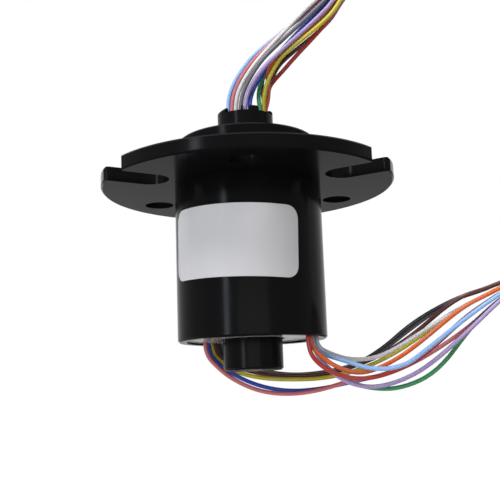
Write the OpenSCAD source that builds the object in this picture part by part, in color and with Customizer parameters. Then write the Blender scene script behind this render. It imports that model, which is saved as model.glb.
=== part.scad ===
// Flanged capsule slip ring with twelve circuits.
// The origin lies on the axis, in the underside of the flange; +Z points to the rotor's hub.

/* [Flange] */
// Outer diameter of the mounting flange
flange_d = 44; // [40:0.5:50]
// Thickness of the flange
flange_t = 2.1; // [1.6:0.1:3]
// Diameter of the circle that the round screw holes lie on
hole_circle_d = 33; // [30:0.5:36]
// Diameter of each round screw hole
hole_d = 4.5; // [3:0.1:5]
// Width of each open screw slot
slot_w = 5.6; // [4.2:0.1:6]
// Distance from the axis to the centre of a slot's round end
slot_centre_r = 16.1; // [15:0.1:17]
// Rounding of a slot's corners at the rim
slot_corner_r = 0.7; // [0.3:0.1:1.2]

/* [Body] */
// Outer diameter of the barrel below the flange
barrel_d = 22; // [22:0.1:24]
// Length of the barrel below the flange
barrel_l = 22.9; // [22.5:0.1:26]
// Inner diameter of the barrel
barrel_bore_d = 18.6; // [18.6:0.1:19]
// Outer diameter of the boss above the flange
boss_d = 21.1; // [20:0.1:23]
// Height of the boss's top face above the flange's underside
boss_top = 7.25; // [7:0.05:9]
// Small chamfer on the body's outer edges
edge_chamfer = 0.25; // [0.1:0.05:0.4]

/* [End plate] */
// Thickness of the end plate
end_plate_t = 3; // [2.8:0.1:3.4]
// Depth of the end plate's face inside the barrel's mouth
end_recess = 0.25; // [0:0.05:0.6]
// Thickness of the lip under the lower bearing
end_lip_t = 0.7; // [0.5:0.1:0.8]
// Width of the ledge in the barrel that the end plate seats on
end_ledge = 0.4; // [0.3:0.1:0.5]
// Distance from the axis to the end plate's screws
screw_r = 8.3; // [8.2:0.05:8.4]
// Thread diameter of the end plate's screws
screw_d = 1.2; // [1:0.1:1.3]
// Length of the screws' threads
screw_l = 5.4; // [4.6:0.1:6]

/* [Shaft] */
// Outer diameter of the hub
hub_d = 8.5; // [8:0.1:8.7]
// Height of the hub above the boss
hub_h = 4.9; // [4:0.1:6]
// Diameter of the lead passage through the hub
passage_d = 7; // [6.8:0.1:7.2]
// Depth of the lead notches in the hub's rim
notch_depth = 0.8; // [0.4:0.1:1.2]
// Outer diameter of the stub below the barrel
stub_d = 8.8; // [8.3:0.1:8.9]
// Length of the stub below the barrel
stub_l = 4.3; // [3:0.1:6]
// Diameter of the shaft where the rings are stacked
core_d = 10; // [9.8:0.1:10.2]

/* [Bearings] */
// Bore of both ball bearings
bearing_bore_d = 9; // [8.8:0.1:9.2]
// Outer diameter of the upper bearing
upper_bearing_d = 17; // [16.8:0.1:17.4]
// Width of the upper bearing
upper_bearing_w = 4; // [3.8:0.1:4.2]
// Ball diameter of the upper bearing
upper_ball_d = 2.4; // [2.2:0.1:2.5]
// Number of balls in the upper bearing
upper_balls = 9; // [7:1:10]
// Outer diameter of the lower bearing
lower_bearing_d = 14; // [13.8:0.1:14.1]
// Width of the lower bearing
lower_bearing_w = 3; // [2.8:0.1:3.2]
// Ball diameter of the lower bearing
lower_ball_d = 1.6; // [1.5:0.1:1.7]
// Number of balls in the lower bearing
lower_balls = 13; // [9:1:14]

/* [Contacts] */
// Outer diameter of the contact rings
ring_d = 12; // [11.8:0.1:12.2]
// Width of each contact ring
ring_w = 0.7; // [0.6:0.05:0.8]
// Thickness of each insulating spacer
spacer_t = 0.6; // [0.5:0.05:0.6]
// Outer diameter of the spacers and the stack collar
spacer_d = 12.8; // [12.6:0.1:13]
// Diameter of the brush spring wire
brush_wire_d = 0.3; // [0.2:0.02:0.34]
// Thickness of the brush boards
board_t = 0.8; // [0.6:0.1:1]
// Distance from the axis to a board's inner face
board_inner_r = 7.6; // [7.5:0.05:7.6]

/* [Label] */
// Width of the label around the barrel, in degrees
label_angle = 107; // [80:1:130]
// Height of the label along the barrel
label_h = 10.3; // [8:0.1:12]
// Distance from the flange's underside to the label's top edge
label_top = 4.3; // [3:0.1:6]
// Thickness of the label
label_t = 0.09; // [0.05:0.01:0.15]
// Rounding of the label's corners
label_corner_r = 1.8; // [0.5:0.1:2.5]

/* [Leads] */
// Outer diameter of each lead
lead_d = 0.65; // [0.5:0.01:0.68]
// Width of each hank's tie
tie_w = 2.5; // [1.5:0.1:4]
// Thickness of each hank's tie
tie_t = 0.8; // [0.5:0.1:1.2]

/* [Hidden] */
$fn = 64;
COLOURS = ["black", "brown", "red", "orange", "yellow", "green",
           "blue", "purple", "grey", "white", "pink", "light_blue"];

// Clearances
eps = 0.01;                    // overlap of cutting shapes
run_gap = 0.35;                // around the turning hub and stub
contact_gap = 0.02;            // between a brush wire and its ring, and a ball and its race
seat_gap = 0.05;               // around pieces that drop into a seat
push_gap = 0.02;               // around bearings, rings and screws, which fit closely

// Body heights, all from the flange's underside
boss_lip = 0.95;               // plate of the boss above the upper bearing
upper_z1 = boss_top - boss_lip;
upper_z0 = upper_z1 - upper_bearing_w;
cavity_top = upper_z0 - 0.3;
plate_z0 = -barrel_l + end_recess;
plate_z1 = plate_z0 + end_plate_t;
lower_z0 = plate_z0 + end_lip_t;
lower_z1 = lower_z0 + lower_bearing_w;
mouth_r = barrel_bore_d / 2 + end_ledge;
shaft_end = -barrel_l - stub_l;
rim_z = boss_top + hub_h;

// Flange pattern: azimuths in degrees
slot_azimuths = [90, 210, 330];
hole_azimuths = [30, 150, 270];

// End plate
screw_azimuths = [45, 225];
screw_head_d = 2;
screw_head_h = 0.5;
post_r = 1.25;
post_h = 4.1;
post_gap = 0.1;                // the end plate seats on the ledge, just short of the posts
lead_slots = [134.4, -16];     // azimuths of the two lead slots and of the boards above them
lead_slot_half = 15;           // half the angle of a lead slot
lead_slot_r = 8.9;             // radius that the stator leads leave on
lead_slot_w = 1;

// Shaft and ring stack
shoulder_t = 0.3;
stack_top = upper_z0 - shoulder_t - 0.8;
ring_pitch = ring_w + spacer_t;
rings = len(COLOURS);
stack_bottom = stack_top - rings * ring_w - (rings - 1) * spacer_t;
collar_t = 1.2;
passage_floor = stack_bottom - 2;
groove_depth = 0.2;
groove_w = 0.4;
tap_hole_d = 1.1;

// Brush boards
board_top = cavity_top;
board_bottom = stack_bottom - 1.2;
board_half_w = sqrt(pow(barrel_bore_d / 2, 2) - pow(board_inner_r + board_t, 2)) - seat_gap;

// Leads: each is a tube swept along a smooth curve that its route's points pull into shape
lead_r = lead_d / 2;
lead_pitch = 0.72;             // spacing of leads that lie side by side
lead_sides = 8;

function ring_z(i) = stack_top - ring_w / 2 - i * ring_pitch;
function lerp(a, b, t) = a + (b - a) * t;
function ease(t) = t * t * (3 - 2 * t);
function polar(r, azimuth, z) = [r * cos(azimuth), r * sin(azimuth), z];
function unit(v) = v / norm(v);

// ---------------------------------------------------------------- housing

// A plan shape that rounds the corner between a slot's side and the flange's rim
module rim_corner_cut(side) {
    r = slot_corner_r;
    x = slot_w / 2 + r;
    y = sqrt(pow(flange_d / 2 - r, 2) - x * x);
    k = (flange_d / 2 + 0.5) / (flange_d / 2 - r);
    mirror([side, 0])
        difference() {
            polygon([[x, y], [slot_w / 2 - eps, y], [slot_w / 2 - eps, flange_d / 2 + 1], [x * k, y * k]]);
            translate([x, y]) circle(r);
        }
}

module slot_plan() {
    translate([0, slot_centre_r]) circle(d = slot_w);
    translate([-slot_w / 2, slot_centre_r]) square([slot_w, flange_d / 2]);
    for (side = [0, 1]) rim_corner_cut(side);
}

module housing() {
    c = edge_chamfer;
    bore_r = barrel_bore_d / 2;
    color([0.07, 0.07, 0.075])
        difference() {
            union() {
                rotate_extrude($fn = 128)
                    polygon([
                        [mouth_r, -barrel_l], [barrel_d / 2 - c, -barrel_l], [barrel_d / 2, -barrel_l + c],
                        [barrel_d / 2, 0], [flange_d / 2 - c, 0], [flange_d / 2, c],
                        [flange_d / 2, flange_t - c], [flange_d / 2 - c, flange_t], [boss_d / 2, flange_t],
                        [boss_d / 2, boss_top - c], [boss_d / 2 - c, boss_top],
                        [hub_d / 2 + run_gap, boss_top], [hub_d / 2 + run_gap, upper_z1],
                        [upper_bearing_d / 2 + push_gap, upper_z1], [upper_bearing_d / 2 + push_gap, cavity_top],
                        [bore_r, cavity_top], [bore_r, plate_z1], [mouth_r, plate_z1]
                    ]);
                for (a = screw_azimuths)
                    rotate([0, 0, a]) translate([screw_r, 0, plate_z1 + post_gap]) cylinder(r = post_r, h = post_h);
            }
            for (a = slot_azimuths)
                rotate([0, 0, a - 90]) translate([0, 0, -1]) linear_extrude(flange_t + 2) slot_plan();
            for (a = hole_azimuths)
                rotate([0, 0, a]) translate([hole_circle_d / 2, 0, -1]) cylinder(d = hole_d, h = flange_t + 2);
            for (a = screw_azimuths)
                rotate([0, 0, a]) translate([screw_r, 0, plate_z1 - eps])
                    cylinder(d = screw_d + 2 * push_gap, h = screw_l - end_plate_t + screw_head_h + 0.2);
        }
}

// ---------------------------------------------------------------- label

// Cuts a corner at the origin round; the circle runs a little past the two edges
module label_corner_cut() {
    r = label_corner_r;
    past = 0.03;
    rotate([0, -90, 0])
        linear_extrude(2, center = true)
            difference() {
                square(2 * r, center = true);
                translate([past - r, past - r]) circle(r);
            }
}

module label() {
    r0 = barrel_d / 2 + 0.01;
    a0 = 254.5 - label_angle / 2;
    color([0.74, 0.74, 0.76])
        difference() {
            translate([0, 0, -label_top - label_h])
                rotate([0, 0, a0])
                    rotate_extrude(angle = label_angle, $fn = 128)
                        translate([r0, 0]) square([label_t, label_h]);
            for (end = [0, 1], low = [0, 1])
                rotate([0, 0, a0 + end * label_angle])
                    translate([r0, 0, -label_top - low * label_h])
                        mirror([0, 1 - end, 0]) mirror([0, 0, low]) label_corner_cut();
        }
}

// ---------------------------------------------------------------- end plate

module end_plate() {
    color([0.82, 0.82, 0.8])
        difference() {
            translate([0, 0, plate_z0]) cylinder(r = mouth_r - seat_gap, h = end_plate_t, $fn = 128);
            translate([0, 0, plate_z0 - 1]) cylinder(d = stub_d + 2 * run_gap, h = end_plate_t);
            translate([0, 0, lower_z0]) cylinder(d = lower_bearing_d + 2 * push_gap, h = end_plate_t);
            for (a = lead_slots)
                translate([0, 0, plate_z0 - 1])
                    rotate([0, 0, a - lead_slot_half])
                        rotate_extrude(angle = 2 * lead_slot_half)
                            translate([lead_slot_r - lead_slot_w / 2, 0]) square([2, end_plate_t + 2]);
            for (a = screw_azimuths)
                rotate([0, 0, a]) translate([screw_r, 0, plate_z0]) {
                    translate([0, 0, -1]) cylinder(d = screw_d + 2 * seat_gap, h = end_plate_t + 2);
                    translate([0, 0, -1]) cylinder(d = screw_head_d + 2 * seat_gap, h = 1 + screw_head_h);
                }
        }
}

module end_plate_screws() {
    color([0.2, 0.2, 0.21])
        for (a = screw_azimuths)
            rotate([0, 0, a]) translate([screw_r, 0, plate_z0])
                difference() {
                    union() {
                        cylinder(d = screw_head_d, h = screw_head_h);
                        translate([0, 0, screw_head_h - eps]) cylinder(d = screw_d, h = screw_l + eps);
                    }
                    for (turn = [0, 90])
                        rotate([0, 0, turn]) translate([0, 0, 0.1]) cube([1.2, 0.25, 0.4], center = true);
                }
}

// ---------------------------------------------------------------- brushes

module brush_board(azimuth) {
    color([0.1, 0.35, 0.2])
        rotate([0, 0, azimuth])
            translate([board_inner_r, -board_half_w, board_bottom])
                cube([board_t, 2 * board_half_w, board_top - board_bottom]);
}

// One U-shaped spring wire: a cross bar on the board and two legs that touch the ring's groove
module brush(ring) {
    wire_r = brush_wire_d / 2;
    foot = [board_inner_r - wire_r, 1];
    reach = ring_d / 2 - groove_depth + wire_r + contact_gap;
    turn = asin(reach / norm(foot)) - atan(foot[1] / foot[0]);
    leg_l = sqrt(pow(norm(foot), 2) - reach * reach) + 0.8;
    translate([0, 0, ring_z(ring)]) {
        translate([foot[0], 0, 0]) rotate([90, 0, 0]) cylinder(r = wire_r, h = 2 * foot[1], center = true);
        for (side = [0, 1])
            mirror([0, side, 0])
                translate([foot[0], foot[1], 0]) {
                    sphere(wire_r);
                    rotate([0, 0, 180 - turn]) rotate([0, 90, 0]) cylinder(r = wire_r, h = leg_l);
                }
    }
}

// A board's brushes touch the rings whose leads have the same colours as its own
module brush_wires(azimuth, board) {
    color([0.85, 0.65, 0.25])
        rotate([0, 0, azimuth])
            for (lead = stator_leads)
                if (lead[1] == board)
                    for (ring = [0 : rings - 1])
                        if (rotor_leads[ring][0] == lead[0]) brush(ring);
}

// ---------------------------------------------------------------- bearings

// Radii of a bearing's parts: the balls run midway between the bore and the outside
function ball_circle_r(bore, outer) = (bore + outer) / 4;

module race(r0, r1, z0, z1, ball_r, ball_d) {
    color([0.75, 0.76, 0.78])
        rotate_extrude($fn = 96)
            difference() {
                translate([r0, z0]) square([r1 - r0, z1 - z0]);
                translate([ball_r, (z0 + z1) / 2]) circle(d = ball_d + 2 * contact_gap);
            }
}

module inner_race(outer, z0, z1, ball_d, wall) {
    race(bearing_bore_d / 2, bearing_bore_d / 2 + wall, z0, z1, ball_circle_r(bearing_bore_d, outer), ball_d);
}

module outer_race(outer, z0, z1, ball_d, wall) {
    race(outer / 2 - wall, outer / 2, z0, z1, ball_circle_r(bearing_bore_d, outer), ball_d);
}

module balls(outer, z, ball_d, count) {
    color([0.8, 0.8, 0.82])
        for (i = [0 : count - 1])
            rotate([0, 0, i * 360 / count]) translate([ball_circle_r(bearing_bore_d, outer), 0, z]) sphere(d = ball_d);
}

// Crown cage: a ring with a pocket around each ball, joined above the balls
module cage(outer, z, ball_d, count, wall) {
    pocket_d = ball_d + 0.12;
    color([0.75, 0.62, 0.4])
        difference() {
            rotate_extrude($fn = 96)
                translate([ball_circle_r(bearing_bore_d, outer) - wall / 2, z - ball_d * 0.4])
                    square([wall, ball_d * 0.4 + pocket_d / 2 + 0.35]);
            for (i = [0 : count - 1])
                rotate([0, 0, i * 360 / count])
                    translate([ball_circle_r(bearing_bore_d, outer), 0, z]) sphere(d = pocket_d);
        }
}

upper_race_wall = 1.25;
upper_cage_wall = 0.9;
lower_race_wall = 0.7;
lower_cage_wall = 0.65;
upper_ball_z = (upper_z0 + upper_z1) / 2;
lower_ball_z = (lower_z0 + lower_z1) / 2;

// ---------------------------------------------------------------- shaft and ring stack

// Each rotor lead has its own ring, its own hole through the shaft's wall and its own azimuth there
function tap_azimuth(i) = 120 + 30 * i;

module rotor_shaft() {
    c = 0.3;
    seat_r = bearing_bore_d / 2 - push_gap;
    core_r = core_d / 2;
    color([0.08, 0.08, 0.085])
        difference() {
            rotate_extrude($fn = 96)
                polygon([
                    [0, shaft_end], [stub_d / 2 - c, shaft_end], [stub_d / 2, shaft_end + c],
                    [stub_d / 2, lower_z0], [seat_r, lower_z0], [seat_r, lower_z1], [core_r, lower_z1],
                    [core_r, stack_top], [spacer_d / 2, stack_top], [spacer_d / 2, upper_z0 - shoulder_t],
                    [seat_r + 0.8, upper_z0 - shoulder_t], [seat_r + 0.8, upper_z0], [seat_r, upper_z0],
                    [seat_r, upper_z1], [hub_d / 2, upper_z1],
                    [hub_d / 2, rim_z - c], [hub_d / 2 - c, rim_z], [0, rim_z]
                ]);
            translate([0, 0, passage_floor]) cylinder(d = passage_d, h = 100);
            for (i = [0 : rings - 1])
                rotate([0, 0, tap_azimuth(i)])
                    translate([0, 0, ring_z(i) + 0.1]) rotate([0, 90, 0]) cylinder(d = tap_hole_d, h = core_r + 0.2, $fn = 24);
            rim_notch(224, 262);
            rim_notch(266, 279);
            rim_notch(299, 348);
        }
}

// A shallow notch in the hub's rim that a group of leads passes over
module rim_notch(from, to) {
    translate([0, 0, rim_z - notch_depth])
        rotate([0, 0, from])
            rotate_extrude(angle = to - from)
                translate([passage_d / 2 - 0.2, 0]) square([hub_d, notch_depth + 1]);
}

module contact_ring(i) {
    color([0.86, 0.68, 0.28])
        translate([0, 0, ring_z(i)])
            rotate_extrude($fn = 96)
                difference() {
                    translate([core_d / 2 + push_gap, -ring_w / 2])
                        square([(ring_d - core_d) / 2 - push_gap, ring_w]);
                    translate([ring_d / 2 - groove_depth, -groove_w / 2]) square([1, groove_w]);
                }
}

module washer(z0, z1) {
    translate([0, 0, z0])
        difference() {
            cylinder(d = spacer_d, h = z1 - z0, $fn = 96);
            translate([0, 0, -1]) cylinder(d = core_d + 2 * push_gap, h = z1 - z0 + 2, $fn = 96);
        }
}

module ring_spacers() {
    color([0.85, 0.83, 0.76])
        for (i = [0 : rings - 2])
            washer(ring_z(i + 1) + ring_w / 2, ring_z(i) - ring_w / 2);
}

module stack_collar() {
    color([0.1, 0.1, 0.1]) washer(stack_bottom - collar_t, stack_bottom);
}

// ---------------------------------------------------------------- leads

// Rotor leads, from the first ring down: colour, place in the bundle [row, column], and the hand-set
// points of the route from the hub's rim
rotor_leads = [
    ["light_blue", [1, 3], [[-2.6, -1.3, 12.1], [-2.4, -1.5, 14.4], [-1.4, -1.7, 16.8],
        [0.2, -1.9, 19.1], [2.2, -2.0, 21.4]]],
    ["pink", [0, 3], [[-2.0, -2.0, 11.9], [-1.7, -2.4, 14.2], [-0.7, -2.7, 16.5], [0.9, -2.8, 18.8],
        [2.8, -2.8, 20.9]]],
    ["white", [-1, 3], [[-1.4, -2.5, 11.8], [-1.1, -3.1, 14.1], [0.0, -3.4, 16.3], [1.6, -3.5, 18.6],
        [3.3, -3.5, 20.6]]],
    ["grey", [-1, 2], [[-0.7, -2.8, 11.8], [-0.3, -3.4, 14.1], [0.8, -3.9, 16.2], [2.2, -4.1, 18.3],
        [3.8, -4.1, 20.2]]],
    ["purple", [-1, 1], [[0.0, -2.9, 11.9], [0.4, -3.4, 14.0], [1.5, -3.8, 16.0], [3.1, -4.0, 18.0],
        [5.0, -3.9, 19.9]]],
    ["blue", [0, 2], [[0.7, -2.9, 11.8], [0.9, -2.8, 13.7], [1.7, -2.2, 15.8], [2.9, -1.8, 17.7],
        [4.2, -1.6, 19.6], [5.7, -1.5, 21.4]]],
    ["green", [1, 1], [[2.3, -1.9, 12.0], [2.1, -1.5, 14.4], [2.5, -0.9, 16.6], [3.4, -0.7, 18.5],
        [4.5, -0.7, 20.0], [6.0, -0.6, 21.6]]],
    ["yellow", [-1, 0], [[2.8, -1.2, 12.2], [3.0, -1.9, 14.2], [3.5, -2.5, 16.1], [4.6, -3.0, 18.1],
        [6.1, -3.2, 20.3]]],
    ["orange", [0, 1], [[3.1, -0.4, 12.4], [3.5, -0.7, 14.2], [3.7, -1.2, 15.3], [3.7, -1.6, 16.3],
        [3.6, -2.0, 17.2], [3.9, -2.5, 18.2], [4.5, -2.9, 19.2], [5.2, -2.9, 20.2]]],
    ["red", [0, 0], [[3.1, 0.4, 12.4], [3.7, 0.3, 14.4], [3.8, 0.0, 16.1], [4.7, -0.5, 17.2],
        [6.1, -1.2, 18.4], [7.7, -1.6, 20.1]]],
    ["black", [1, 2], [[2.9, 1.1, 12.4], [3.0, 0.9, 14.6], [2.7, 0.7, 16.6], [3.1, 0.4, 18.4],
        [4.3, 0.2, 20.2], [5.7, 0.1, 21.7]]],
    ["brown", [1, 0], [[2.4, 2.0, 12.4], [3.3, 2.0, 14.6], [3.9, 1.2, 16.6], [4.8, 0.5, 18.9],
        [6.4, -0.1, 20.8]]]
];

// Stator leads: colour, lead slot, place in the slot, place in the bundle [row, column], and the
// hand-set points of the route from the end plate
stator_leads = [
    ["pink", 0, 5, [1, 0], [[-7.4, 4.9, -24.1], [-5.7, 5.6, -26.2], [-3.2, 6.6, -28.3],
        [0.8, 7.4, -30.2], [5.4, 7.6, -30.8], [10.2, 7.2, -30.3], [15.0, 6.7, -28.9],
        [20.0, 6.2, -28.4], [25.7, 5.3, -26.2]]],
    ["blue", 0, 4, [1, 1], [[-6.9, 5.6, -24.0], [-5.4, 6.1, -25.9], [-2.8, 7.2, -27.7],
        [0.9, 8.0, -29.4], [5.4, 8.3, -30.3], [10.2, 8.0, -30.1], [15.0, 7.5, -29.2],
        [20.0, 7.0, -28.3], [25.9, 6.2, -26.0]]],
    ["brown", 0, 2, [-1, 3], [[-5.9, 6.7, -23.9], [-4.6, 7.5, -25.2], [-2.2, 8.4, -26.6],
        [1.8, 9.1, -27.5], [6.0, 9.3, -27.9], [10.6, 8.9, -27.9], [15.2, 8.4, -27.0],
        [20.2, 7.4, -25.1], [25.1, 6.9, -22.2]]],
    ["yellow", 0, 3, [1, 2], [[-6.5, 6.1, -24.0], [-4.9, 7.0, -25.6], [-2.6, 7.6, -27.2],
        [1.4, 8.2, -28.2], [6.0, 8.5, -28.5], [10.6, 8.4, -28.5], [15.4, 7.9, -27.7],
        [20.5, 6.9, -25.8], [25.2, 6.2, -23.1]]],
    ["black", 0, 1, [0, 3], [[-5.4, 7.4, -23.9], [-3.9, 8.4, -25.1], [-1.7, 9.4, -26.6],
        [2.2, 10.1, -27.7], [6.2, 10.4, -28.2], [10.8, 10.1, -27.9], [15.4, 9.4, -26.8],
        [20.2, 8.5, -24.3], [25.0, 7.7, -20.3]]],
    ["grey", 0, 0, [1, 3], [[-4.9, 7.9, -23.7], [-3.6, 9.3, -24.7], [-0.9, 10.2, -26.1],
        [2.6, 11.1, -27.2], [6.6, 11.4, -27.7], [10.8, 11.1, -27.5], [15.4, 10.3, -26.7],
        [20.4, 9.3, -24.5], [25.3, 8.4, -20.9]]],
    ["red", 1, 0, [0, 1], [[7.8, -4.2, -24.0], [8.5, -4.2, -26.1], [11.0, -3.8, -28.1],
        [15.1, -2.8, -29.2], [19.6, -1.4, -28.4], [24.4, -0.6, -26.4]]],
    ["orange", 1, 1, [-1, 2], [[8.2, -3.5, -23.8], [9.3, -3.8, -25.4], [11.9, -3.5, -27.4],
        [15.6, -2.0, -28.4], [20.0, -0.9, -26.8], [24.0, -0.4, -24.4]]],
    ["purple", 1, 2, [-1, 0], [[8.5, -2.8, -24.0], [9.8, -2.7, -26.5], [12.6, -2.5, -29.2],
        [16.6, -1.7, -30.4], [21.0, -1.0, -29.6], [25.7, -0.2, -27.4]]],
    ["green", 1, 3, [0, 0], [[8.7, -2.1, -24.0], [9.9, -1.8, -26.5], [12.6, -1.5, -28.9],
        [16.6, -0.7, -30.4], [21.4, 0.1, -30.6], [27.1, 0.8, -28.3]]],
    ["light_blue", 1, 4, [-1, 1], [[8.9, -1.4, -24.0], [10.2, -1.3, -25.3], [12.3, -1.6, -26.0],
        [13.9, -2.0, -26.6], [15.7, -2.5, -27.3], [17.5, -2.9, -27.7], [19.6, -3.1, -27.7],
        [21.7, -2.9, -27.2], [23.3, -2.5, -26.4]]],
    ["white", 1, 5, [0, 2], [[9.2, -0.7, -23.9], [11.0, 0.4, -25.0], [14.4, 1.8, -26.1],
        [18.4, 2.9, -25.9], [22.0, 3.5, -24.3], [25.4, 4.0, -22.3]]]
];

// The two bundles. Each heads up and outwards from a start point, bends over in an arc and hangs down
// into its hank: [start, heading in degrees, gathering steps [distance, spread], straight run,
// arc radius, drop after the arc, y at the arc's end, steps of the arc, straight length of the hank]
rotor_bundle = [[16, -1.5, 32], 50, [[-6, 1.7], [-2, 1.15]], 10, 16, 0, -3.2, 8, 20];
stator_bundle = [[38.5, 3.5, -16], 28, [[-7.5, 2.3], [-2.5, 1.25]], 0, 7, 2, 1, 4, 24];
hank_r = 3.4;                  // radius of the hank's end turns at the bundle's middle
hank_waist = 1.6;              // how far the tie draws each side in
hank_turns = 3.1;
hank_step = 2.25;              // sideways step of each turn
bundle_cols = 4;
bundle_rows = 3;

// A lead's point in the bundle, across a middle point [x, y, z] that heads at an angle in the XZ plane
function in_bundle(mid, heading, place, spread) =
    let (side = (place[1] - (bundle_cols - 1) / 2) * lead_pitch * spread)
    [mid[0] - sin(heading) * side, mid[1] + place[0] * lead_pitch * spread, mid[2] + cos(heading) * side];

function along(point, heading, distance) =
    [point[0] + cos(heading) * distance, point[1], point[2] + sin(heading) * distance];

function arc_start(b) = along(b[0], b[1], b[3]);
function arc_centre(b) = along(arc_start(b), b[1] - 90, b[4]);
function arc_end(b) = [arc_centre(b)[0] + b[4], b[6], arc_centre(b)[2]];
function hank_centre(b) = [arc_end(b)[0] - hank_r, b[6], arc_end(b)[2] - b[5] - b[8] / 2];

function bundle_route(b, place) = concat(
    [for (g = b[2]) in_bundle(along(b[0], b[1], g[0]), b[1], place, g[1])],
    b[3] > 0 ? [in_bundle(along(b[0], b[1], 0.4 * b[3]), b[1], place, 1)] : [],
    [for (i = [0 : b[7]])
        let (t = i / b[7], heading = lerp(b[1], -90, t), mid = along(arc_centre(b), heading + 90, b[4]))
        in_bundle([mid[0], lerp(b[0][1], b[6], t), mid[2]], heading, place, 1)],
    [in_bundle([arc_end(b)[0], b[6], arc_end(b)[2] - b[5] - 1], -90, place, 1)]
);

// Nearest turn of angle a to angle b
function near_turn(a, b) = a - b > 180 ? near_turn(a - 360, b) : b - a > 180 ? near_turn(a + 360, b) : a;

passage_lead_r = 2;            // circle of the leads inside the shaft
solder_depth = 0.15;           // how far a rotor lead's end sits in its ring

function rotor_route(i) =
    let (
        lead = rotor_leads[i],
        rim = lead[2][0],
        tap = tap_azimuth(i),
        rim_azimuth = near_turn(atan2(rim[1], rim[0]), tap),
        rim_r = norm([rim[0], rim[1]])
    )
    concat(
        [
            polar(core_d / 2 + solder_depth, tap, ring_z(i)),
            polar(passage_lead_r, tap, ring_z(i)),
            polar(passage_lead_r, tap, ring_z(i) + 3.7)
        ],
        [for (t = [0, 0.33, 0.67, 1])
            polar(lerp(passage_lead_r, rim_r, ease(t)), lerp(tap, rim_azimuth, ease(t)), lerp(5.4, 10.4, t))],
        lead[2],
        bundle_route(rotor_bundle, lead[1])
    );

function stator_route(i) =
    let (
        lead = stator_leads[i],
        azimuth = lead_slots[lead[1]],
        place = lead[2] - 2.5,
        pad = [board_inner_r + board_t / 2, 0.9 * place],
        pad_azimuth = azimuth + atan2(pad[1], pad[0]),
        slot_azimuth = azimuth + place * lead_pitch / lead_slot_r * 180 / PI
    )
    concat(
        [
            polar(norm(pad), pad_azimuth, board_bottom),
            polar(norm(pad), pad_azimuth, board_bottom - 1),
            polar(lead_slot_r, slot_azimuth, plate_z1 + 1.25)
        ],
        lead[4],
        bundle_route(stator_bundle, lead[3])
    );

// Quadratic spline that starts and ends on the route and bends towards the points between
function spline(p) = let (last = len(p) - 1) concat([p[0]], [
    for (i = [1 : last - 1])
        let (a = i == 1 ? p[0] : (p[i - 1] + p[i]) / 2, c = i == last - 1 ? p[last] : (p[i] + p[i + 1]) / 2)
        for (t = [0.5, 1]) a * (1 - t) * (1 - t) + p[i] * (2 * t * (1 - t)) + c * t * t
]);

function transport(tangents, u, i = 0) =
    i == len(tangents) ? [] :
    let (w = unit(u - tangents[i] * (u * tangents[i])))
    concat([w], transport(tangents, w, i + 1));

module tube(route) {
    p = spline(route);
    n = len(p);
    tangents = [for (i = [0 : n - 1]) unit(p[min(i + 1, n - 1)] - p[max(i - 1, 0)])];
    first = abs(tangents[0][2]) < 0.9 ? [0, 0, 1] : [1, 0, 0];
    across = transport(tangents, first);
    s = lead_sides;
    points = [
        for (i = [0 : n - 1], k = [0 : s - 1])
            let (a = 360 * k / s)
            p[i] + lead_r * (cos(a) * across[i] + sin(a) * cross(tangents[i], across[i]))
    ];
    walls = [
        for (i = [0 : n - 2], k = [0 : s - 1])
            [i * s + k, (i + 1) * s + k, (i + 1) * s + (k + 1) % s, i * s + (k + 1) % s]
    ];
    ends = [[for (k = [0 : s - 1]) k], [for (k = [s - 1 : -1 : 0]) (n - 1) * s + k]];
    polyhedron(points, concat(walls, ends));
}

function lead_colour(name) =
    name == "black" ? [0.05, 0.05, 0.06] :
    name == "brown" ? [0.3, 0.14, 0.07] :
    name == "red" ? [0.72, 0.1, 0.06] :
    name == "orange" ? [0.88, 0.36, 0.06] :
    name == "yellow" ? [0.88, 0.78, 0.15] :
    name == "green" ? [0.13, 0.5, 0.28] :
    name == "blue" ? [0.1, 0.25, 0.65] :
    name == "purple" ? [0.6, 0.52, 0.72] :
    name == "grey" ? [0.42, 0.41, 0.44] :
    name == "white" ? [0.88, 0.87, 0.85] :
    name == "pink" ? [0.85, 0.5, 0.53] : [0.6, 0.72, 0.9];

module rotor_wire(name) {
    color(lead_colour(name))
        for (i = [0 : rings - 1])
            if (rotor_leads[i][0] == name) tube(rotor_route(i));
}

module stator_wire(name) {
    color(lead_colour(name))
        for (i = [0 : rings - 1])
            if (stator_leads[i][0] == name) tube(stator_route(i));
}

// Half the hank's width at a height h above its middle, for straight sides of length l
function hank_half_w(h, l) =
    hank_r - hank_waist * (1 + cos(360 * h / l)) / 2 + (bundle_cols - 1) / 2 * lead_pitch + lead_r;

hank_margin = 0.1;
hank_y0 = -lead_pitch - lead_r - hank_margin;
hank_t = hank_turns * hank_step + 2 * (lead_pitch + lead_r + hank_margin);

// Outer shape of a hank: straight sides drawn in at the tie, and two round ends
module hank(b) {
    l = b[8];
    end_r = hank_half_w(l / 2, l) + hank_margin;
    side = [for (i = [0 : 12]) let (h = l * (i / 12 - 0.5)) [hank_half_w(h, l) + hank_margin, h]];
    other = [for (i = [12 : -1 : 0]) [-side[i][0], side[i][1]]];
    color([0.5, 0.5, 0.52])
        translate(hank_centre(b))
            translate([0, hank_y0 + hank_t, 0])
                rotate([90, 0, 0])
                    linear_extrude(hank_t) {
                        polygon(concat(side, other));
                        translate([0, l / 2]) circle(end_r);
                        translate([0, -l / 2]) circle(end_r);
                    }
}

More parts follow.
